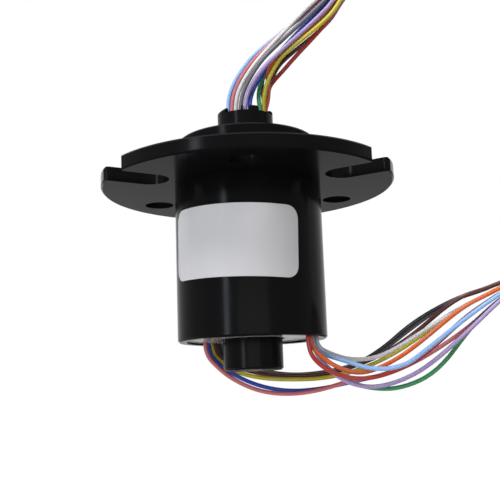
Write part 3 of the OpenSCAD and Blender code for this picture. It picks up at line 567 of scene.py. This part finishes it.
def poly_curve(points, name="line"):
    data = bpy.data.curves.new(name, "CURVE")
    data.dimensions = "3D"
    line = data.splines.new("POLY")
    line.points.add(len(points) - 1)
    for slot, p in zip(line.points, points):
        slot.co = (*p, 1)
    made = bpy.data.objects.new(name, data)
    bpy.context.scene.collection.objects.link(made)
    return made


def tinned_material():
    return bpy.data.materials.get("tinned_copper") or surface_material(
        "tinned_copper", (0.62, 0.6, 0.58), metal=1.0, smooth=0.22, rough=0.4, grain=0.0001, marks=0.1)


def make_tips(name, ends, body):
    """The stripped ends of one bundle, as one piece. ends are (point, direction) pairs."""
    mesh = bpy.data.meshes.new(name + "_ends")
    length = sizes().stripped_length
    verts, faces = [], []
    for point, way in ends:
        u = way.orthogonal().normalized() * 1e-5
        v = way.cross(u).normalized() * 1e-5
        middle = point + way * (length / 2 - 0.0003)
        n = len(verts)
        verts += [middle + u, middle - u / 2 + v, middle - u / 2 - v]
        faces.append((n, n + 1, n + 2))
    mesh.from_pydata([tuple(v) for v in verts], [], faces)
    source = bpy.data.objects.new(name + "_ends", mesh)
    bpy.context.scene.collection.objects.link(source)
    tree = group_of("Stripped Ends", tips_tree)
    made = applied(source, tree, {"Radius": sizes().conductor_diameter / 2, "Length": length,
                                  "Material": tinned_material()}, name)
    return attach(made, body)


def tips_tree():
    """A stripped conductor of seven round strands at the middle of each face of a mesh, along its normal."""
    tree, i, o = new_group("Stripped Ends", "GeometryNodeTree", [
        ("Geometry", "Geometry"), ("Radius", "Float", 0.00016), ("Length", "Float", 0.003), ("Material", "Material")],
        [("Geometry", "Geometry")])
    aim = add(tree, "FunctionNodeAlignEulerToVector", {
        "Vector": add(tree, "GeometryNodeInputNormal").outputs[0]}, axis="Z")
    kept = add(tree, "GeometryNodeCaptureAttribute", {0: i["Geometry"]}, domain="FACE")
    kept.capture_items.new("VECTOR", "Aim")
    tree.links.new(aim.outputs[0], kept.inputs[1])
    points = add(tree, "GeometryNodeMeshToPoints", {"Mesh": kept.outputs[0]}, mode="FACES")
    ring = add(tree, "GeometryNodeCurvePrimitiveCircle", {
        "Resolution": 6, "Radius": maths(tree, "MULTIPLY", i["Radius"], 0.64)})
    strand = add(tree, "GeometryNodeMeshCylinder", {
        "Vertices": 8, "Radius": maths(tree, "MULTIPLY", i["Radius"], 0.36), "Depth": i["Length"]})
    bunch = add(tree, "GeometryNodeInstanceOnPoints", {"Points": ring.outputs[0], "Instance": strand.outputs[0]})
    core = add(tree, "GeometryNodeJoinGeometry")
    tree.links.new(bunch.outputs[0], core.inputs[0])
    tree.links.new(strand.outputs[0], core.inputs[0])
    placed = add(tree, "GeometryNodeInstanceOnPoints", {
        "Points": points.outputs[0], "Instance": core.outputs[0], "Rotation": kept.outputs[1]})
    real = add(tree, "GeometryNodeRealizeInstances", {"Geometry": placed.outputs[0]})
    smooth = add(tree, "GeometryNodeSetShadeSmooth", {"Geometry": real.outputs[0]})
    painted = add(tree, "GeometryNodeSetMaterial", {"Geometry": smooth.outputs[0], "Material": i["Material"]})
    tree.links.new(painted.outputs[0], o["Geometry"])
    return tree


def make_leads(side, leads, route_of, bundle, exit_z, upwards):
    """All leads of one end: each a swept tube along its whole real length, and their stripped ends."""
    tree = group_of("Lead Tube", tube_tree)
    made, ends = [], []
    for i, lead in enumerate(leads):
        colour, place = lead[0], lead[1] if side == ROTOR else lead[3]
        line = lead_line(route_of(i), bundle, place, exit_z, upwards)
        piece = applied(poly_curve(line), tree, {
            "Radius": sizes().lead_diameter / 2, "Sides": 12, "Material": lead_material(colour)},
            f"{side}_lead_{colour}")
        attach(piece, side)
        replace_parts(piece, f"{side}_wire_{colour}", f"{side}_hank")
        made.append((piece, line))
        ends.append((line[-1], (line[-1] - line[-2]).normalized()))
    tips = make_tips(side + "_stripped_ends", ends, side)


def make_strap(side, bundle):
    """A nylon strap round a hank's waist: a rounded band with its locking head and cut tail."""
    low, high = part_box(side + "_tie")
    end = arc_end(bundle)
    z = end[2] - bundle["drop"] - bundle["run"] / 2
    band = .0007
    x0, x1, y1 = low[0], high[0], high[1]
    head_deep = .0026
    y0 = low[1] + head_deep
    corner = .0012
    width = sizes().tie_width
    mesh = bpy.data.meshes.new(side + "_strap")
    bm = bmesh.new()

    def outline(grow):
        points = []
        cx, cy = (x0 + x1) / 2, (y0 + y1) / 2
        hx, hy, r = (x1 - x0) / 2 + grow, (y1 - y0) / 2 + grow, corner + grow
        for q, (sx, sy) in enumerate(((1, 1), (-1, 1), (-1, -1), (1, -1))):
            for k in range(7):
                a = math.radians(90 * q + 15 * k)
                points.append((cx + sx * (hx - r) + r * math.cos(a), cy + sy * (hy - r) + r * math.sin(a)))
        return points

    outer, inner = outline(0.0), outline(-band)
    rings = []
    for points, height in ((outer, width / 2 - .0001), (outer, -width / 2 + .0001), (inner, -width / 2), (inner, width / 2)):
        rings.append([bm.verts.new((x, y, z + height)) for x, y in points])
    count = len(outer)
    for k in range(4):
        a, b = rings[k], rings[(k + 1) % 4]
        for n in range(count):
            bm.faces.new((a[n], a[(n + 1) % count], b[(n + 1) % count], b[n]))
    head = bmesh.ops.create_cube(bm, size=1.0)["verts"]
    middle = Vector(((low[0] + high[0]) / 2, low[1] + head_deep / 2 + .0001, z))
    bmesh.ops.scale(bm, vec=(.0033, head_deep - .0002, high[2] - low[2] - .0001), verts=head)
    bmesh.ops.translate(bm, vec=middle, verts=head)
    tail = bmesh.ops.create_cube(bm, size=1.0)["verts"]
    bmesh.ops.scale(bm, vec=(.0022, .0008, width - .0003), verts=tail)
    bmesh.ops.translate(bm, vec=middle + Vector((.0022, 0, 0)), verts=tail)
    bmesh.ops.recalc_face_normals(bm, faces=bm.faces)
    bm.to_mesh(mesh)
    bm.free()
    strap = bpy.data.objects.new(side + "_strap", mesh)
    bpy.context.scene.collection.objects.link(strap)
    soften = strap.modifiers.new("edges", "BEVEL")
    soften.width, soften.segments, soften.limit_method = .00012, 2, "ANGLE"
    mesh.materials.append(bpy.data.materials.get("strap_nylon") or surface_material(
        "strap_nylon", colours().tie, mark_colour=(0.6, 0.58, 0.5), smooth=0.35, rough=0.5, grain=0.0004))
    for face in mesh.polygons:
        face.use_smooth = False
    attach(strap, side)
    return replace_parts(strap, side + "_tie")


# ---------------------------------------------------------------- label

def make_label():
    """The blank label: a thin rounded film wrapped round the barrel, a little askew."""
    radius, thick = .01101, .00009
    middle, half_angle = math.radians(254.5), math.radians(53.5)
    half_w, half_h, corner, middle_z = half_angle * radius, .00515, .0018, -.0096
    tilt = sizes().label_tilt
    columns, rows = 96, 28
    bm = bmesh.new()
    layers = []
    for lift in (thick, 0.0):
        grid = []
        for r in range(rows + 1):
            # rows crowd towards the rounded ends
            h = half_h * math.sin(math.pi * (r / rows - 0.5))
            over = max(0.0, abs(h) - (half_h - corner))
            w = half_w - corner + math.sqrt(max(corner ** 2 - over ** 2, 0.0))
            line = []
            for c in range(columns + 1):
                s = w * (2 * c / columns - 1)
                s2, h2 = s * math.cos(tilt) + h * math.sin(tilt), h * math.cos(tilt) - s * math.sin(tilt)
                a = middle + s2 / radius
                line.append(bm.verts.new(((radius + lift) * math.cos(a), (radius + lift) * math.sin(a), middle_z + h2)))
            grid.append(line)
        layers.append(grid)
    top, bottom = layers
    for r in range(rows):
        for c in range(columns):
            bm.faces.new((top[r][c], top[r][c + 1], top[r + 1][c + 1], top[r + 1][c]))
            bm.faces.new((bottom[r][c], bottom[r + 1][c], bottom[r + 1][c + 1], bottom[r][c + 1]))

    def rim(grid):
        return ([*grid[0]] + [row[-1] for row in grid[1:]] + [*reversed(grid[-1][:-1])]
                + [row[0] for row in reversed(grid[1:-1])])

    outer, inner = rim(top), rim(bottom)
    for k in range(len(outer)):
        n = (k + 1) % len(outer)
        bm.faces.new((outer[k], inner[k], inner[n], outer[n]))
    bmesh.ops.recalc_face_normals(bm, faces=bm.faces)
    mesh = bpy.data.meshes.new("blank_label")
    bm.to_mesh(mesh)
    bm.free()
    for face in mesh.polygons:
        face.use_smooth = True
    mesh.set_sharp_from_angle(angle=math.radians(40))
    label = bpy.data.objects.new("blank_label", mesh)
    bpy.context.scene.collection.objects.link(label)
    label.data.materials.append(surface_material(
        "label_film", colours().label, drift=0.1, marks=0.05, mark_colour=(0.35, 0.35, 0.36), grain=0.00025,
        smooth=0.55, rough=0.65, metal=0.0, depth=0.000001, specular=0.25))
    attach(label, STATOR)
    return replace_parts(label, "label")


# ---------------------------------------------------------------- stage

def make_camera():
    """The camera: a little below the flange, looking up at it, rolled slightly."""
    pan, tilt, roll = math.radians(0.0211), math.radians(10.1705), math.radians(-1.9659)
    forward = Vector((math.sin(pan) * math.cos(tilt), math.cos(pan) * math.cos(tilt), math.sin(tilt)))
    right = Vector((math.cos(pan), -math.sin(pan), 0))
    up = right.cross(forward)
    right, up = (right * math.cos(roll) + up * math.sin(roll)), (up * math.cos(roll) - right * math.sin(roll))
    data = bpy.data.cameras.new("camera")
    data.lens, data.sensor_width = bpy.context.scene.slip_ring_stage.focal_length, 36.0
    data.clip_start, data.clip_end = 0.005, 20.0
    camera = bpy.data.objects.new("camera", data)
    bpy.context.scene.collection.objects.link(camera)
    turn = Matrix((right, up, -forward)).transposed().to_4x4()
    camera.matrix_world = Matrix.Translation((0, -.12715, -.03209)) @ turn
    bpy.context.scene.camera = camera


def lamp(name, place, aim, width, height, power, colour=(1, 1, 1)):
    data = bpy.data.lights.new(name, "AREA")
    data.shape, data.size, data.size_y = "RECTANGLE", width, height
    data.energy = power * bpy.context.scene.slip_ring_stage.lamp_strength
    data.color = colour
    made = bpy.data.objects.new(name, data)
    bpy.context.scene.collection.objects.link(made)
    made.location = place
    made.visible_camera = False
    made.rotation_euler = (Vector(aim) - Vector(place)).to_track_quat("-Z", "Y").to_euler()


def backdrop_strength(tree, lit):
    """1 for camera, mirror and glass rays, and lit for all others."""
    path = add(tree, "ShaderNodeLightPath").outputs
    seen = maths(tree, "MAXIMUM", path["Is Camera Ray"],
                 maths(tree, "MAXIMUM", path["Is Glossy Ray"], path["Is Transmission Ray"]))
    return add(tree, "ShaderNodeMix", {0: seen, 2: lit, 3: 1.0}).outputs[0]


def make_world():
    """A white surround that lights the object softly."""
    world = bpy.data.worlds.new("surround")
    bpy.context.scene.world = world
    world.use_nodes = True
    tree = world.node_tree
    tree.nodes.clear()
    back = add(tree, "ShaderNodeBackground", {
        "Color": rgba(bpy.context.scene.slip_ring_stage.backdrop), "Strength": backdrop_strength(tree, 0.11)})
    add(tree, "ShaderNodeOutputWorld", {0: back.outputs[0]})


def make_floor():
    """A pale floor well below the part, which fades into the surround."""
    bpy.ops.mesh.primitive_circle_add(vertices=96, radius=0.8, fill_type="NGON", location=(0, 0, 0))
    floor = bpy.context.object
    floor.name = "floor"
    floor.data.transform(Matrix.Translation((0, 0, -.085)))
    made, tree, shader = new_material("floor_paint")
    place = object_place(tree)
    shader.inputs["Roughness"].default_value = 0.8
    tone = mix_colour(tree, noise(tree, place, 40.0), (0.8, 0.8, 0.8, 1), (0.82, 0.82, 0.82, 1))
    tree.links.new(tone, shader.inputs["Base Color"])
    flat = add(tree, "ShaderNodeVectorMath", {0: place, 1: (1, 1, 0)}, operation="MULTIPLY").outputs[0]
    far = add(tree, "ShaderNodeVectorMath", {0: flat}, operation="LENGTH").outputs["Value"]
    fade = maths(tree, "MULTIPLY", span(tree, far, 0.12, 0.26, 0.0, 1.0),
                 add(tree, "ShaderNodeLightPath").outputs["Is Camera Ray"])
    clear = add(tree, "ShaderNodeBsdfTransparent")
    both = add(tree, "ShaderNodeMixShader", {0: fade, 1: shader.outputs[0], 2: clear.outputs[0]})
    tree.links.new(both.outputs[0], tree.nodes["Material Output"].inputs[0])
    floor.data.materials.append(made)


# ---------------------------------------------------------------- operators

class SlipRingOperator:
    """What every operator here shares"""
    bl_options = {"REGISTER", "UNDO"}


class SLIPRING_OT_camera(SlipRingOperator, bpy.types.Operator):
    """Place the camera"""
    bl_idname = "slip_ring.camera"
    bl_label = "Camera"

    def execute(self, context):
        make_camera()
        return {"FINISHED"}


class SLIPRING_OT_rotor_leads(SlipRingOperator, bpy.types.Operator):
    """Make the twelve leads that turn with the shaft, their stripped ends and their strap"""
    bl_idname = "slip_ring.rotor_leads"
    bl_label = "Rotor Leads"

    def execute(self, context):
        make_strap(ROTOR, ROTOR_BUNDLE)
        make_leads(ROTOR, ROTOR_LEADS, rotor_route, ROTOR_BUNDLE, RIM_Z, True)
        return {"FINISHED"}


class SLIPRING_OT_stator_leads(SlipRingOperator, bpy.types.Operator):
    """Make the twelve leads of the fixed body, their stripped ends and their strap"""
    bl_idname = "slip_ring.stator_leads"
    bl_label = "Stator Leads"

    def execute(self, context):
        make_strap(STATOR, STATOR_BUNDLE)
        make_leads(STATOR, STATOR_LEADS, stator_route, STATOR_BUNDLE, PLATE_Z, False)
        return {"FINISHED"}


class SLIPRING_OT_housing(SlipRingOperator, bpy.types.Operator):
    """Finish the black housing, the end plate and its screws"""
    bl_idname = "slip_ring.housing"
    bl_label = "Housing and End Plate"

    def execute(self, context):
        dress(surface_material(
            "black_moulding", colours().body, drift=0.5, marks=0.12, mark_colour=(0.05, 0.05, 0.05),
            grain=0.00022, smooth=0.12, rough=0.22, turned=0.0004, depth=0.0000006,
            specular=0.035), "housing")
        dress(surface_material(
            "glossy_plate", colours().end_plate, drift=0.3, marks=0.15, mark_colour=(0.2, 0.2, 0.19),
            smooth=0.12, rough=0.22, depth=0.0000006), "end_plate")
        dress(surface_material(
            "dark_steel", (0.09, 0.088, 0.085), drift=0.4, marks=0.3, mark_colour=(0.3, 0.3, 0.3),
            grain=0.0001, smooth=0.25, rough=0.4, metal=1.0), "end_plate_screws")
        return {"FINISHED"}


class SLIPRING_OT_label(SlipRingOperator, bpy.types.Operator):
    """Make the blank label on the barrel"""
    bl_idname = "slip_ring.label"
    bl_label = "Label"

    def execute(self, context):
        make_label()
        return {"FINISHED"}


class SLIPRING_OT_shaft(SlipRingOperator, bpy.types.Operator):
    """Finish the shaft, its ring stack and the collar"""
    bl_idname = "slip_ring.shaft"
    bl_label = "Shaft and Rings"

    def execute(self, context):
        dress(surface_material(
            "black_shaft", colours().shaft, drift=0.5, marks=0.25, mark_colour=(0.06, 0.06, 0.06),
            grain=0.0002, smooth=0.16, rough=0.28, turned=0.0003, depth=0.000001,
            specular=0.04), "rotor_shaft", "stack_collar")
        dress(surface_material(
            "gold_plate", (0.83, 0.6, 0.22), drift=0.1, marks=0.1, mark_colour=(0.6, 0.45, 0.2), grain=0.0001,
            smooth=0.14, rough=0.26, metal=1.0, turned=0.00008, depth=0.000001),
            *[f"contact_ring_{n:02d}" for n in range(1, 13)], "brush_wires_a", "brush_wires_b")
        dress(surface_material(
            "cream_spacer", (0.7, 0.64, 0.5), drift=0.1, smooth=0.4, rough=0.55), "ring_spacers")
        return {"FINISHED"}


class SLIPRING_OT_inside(SlipRingOperator, bpy.types.Operator):
    """Finish the bearings and the brush boards"""
    bl_idname = "slip_ring.inside"
    bl_label = "Bearings and Boards"

    def execute(self, context):
        steel = surface_material(
            "bearing_steel", (0.56, 0.56, 0.57), drift=0.1, marks=0.2, mark_colour=(0.4, 0.4, 0.4), grain=0.0001,
            smooth=0.16, rough=0.28, metal=1.0, turned=0.00012, depth=0.000001)
        balls = surface_material(
            "ball_steel", (0.62, 0.62, 0.63), drift=0.05, marks=0.02, smooth=0.06, rough=0.1, metal=1.0, depth=0.0)
        brass = surface_material(
            "cage_brass", (0.6, 0.42, 0.16), drift=0.2, marks=0.2, mark_colour=(0.35, 0.25, 0.1), grain=0.0002,
            smooth=0.25, rough=0.42, metal=1.0)
        for side in ("upper", "lower"):
            dress(steel, side + "_bearing_outer_ring", side + "_bearing_inner_ring")
            dress(balls, side + "_bearing_balls")
            dress(brass, side + "_bearing_cage")
        dress(surface_material(
            "circuit_board", (0.015, 0.12, 0.04), drift=0.3, marks=0.15, mark_colour=(0.04, 0.2, 0.09),
            grain=0.0003, smooth=0.22, rough=0.38), "brush_board_a", "brush_board_b")
        return {"FINISHED"}


class SLIPRING_OT_stage(SlipRingOperator, bpy.types.Operator):
    """Make the floor, the surround and the lamps"""
    bl_idname = "slip_ring.stage"
    bl_label = "Stage"

    def execute(self, context):
        scene = context.scene
        scene.view_settings.view_transform = "Standard"
        make_world()
        make_floor()
        lamp("streak_lamp", (-.62, -.80, .02), (0, 0, -.008), .12, .80, 6.0, (.82, .9, 1))
        lamp("top_lamp", (-.16, -.30, .62), (0, 0, .01), .50, .50, 6.0)
        lamp("front_lamp", (.04, -.90, -.12), (0, 0, -.01), .80, .50, 3.0)
        lamp("rear_lamp", (-.38, .92, -.22), (0, 0, -.01), .50, .36, .6)
        lamp("side_lamp", (.70, .22, .00), (0, 0, -.01), .12, .60, .05, (1, .97, .9))
        return {"FINISHED"}


STEPS = (SLIPRING_OT_camera, SLIPRING_OT_rotor_leads, SLIPRING_OT_stator_leads, SLIPRING_OT_housing,
         SLIPRING_OT_label, SLIPRING_OT_shaft, SLIPRING_OT_inside, SLIPRING_OT_stage)


class SLIPRING_PT_panel(bpy.types.Panel):
    """Lists the steps that dress the slip ring, with their sizes and colours"""
    bl_idname = "SLIPRING_PT_panel"
    bl_label = "Slip Ring"
    bl_space_type = "VIEW_3D"
    bl_region_type = "UI"
    bl_category = "Slip Ring"

    def draw(self, context):
        layout = self.layout
        for title, group in (("Sizes", sizes()), ("Colours", colours()), ("Stage", context.scene.slip_ring_stage)):
            box = layout.box()
            box.label(text=title)
            for key in group.bl_rna.properties.keys():
                if key not in ("rna_type", "name"):
                    box.prop(group, key)
        for step in STEPS:
            layout.operator(step.bl_idname)


GROUPS = (("slip_ring_sizes", SlipRingSizes), ("slip_ring_colours", SlipRingColours),
          ("slip_ring_stage", SlipRingStage))


def register():
    for name, group in GROUPS:
        bpy.utils.register_class(group)
        setattr(bpy.types.Scene, name, bpy.props.PointerProperty(type=group))
    for made in (*STEPS, SLIPRING_PT_panel):
        bpy.utils.register_class(made)


def unregister():
    for made in (SLIPRING_PT_panel, *reversed(STEPS)):
        bpy.utils.unregister_class(made)
    for name, group in reversed(GROUPS):
        delattr(bpy.types.Scene, name)
        bpy.utils.unregister_class(group)


def main():
    register()
    for step in STEPS:
        space, name = step.bl_idname.split(".")
        getattr(getattr(bpy.ops, space), name)()


if __name__ == "__main__":
    main()
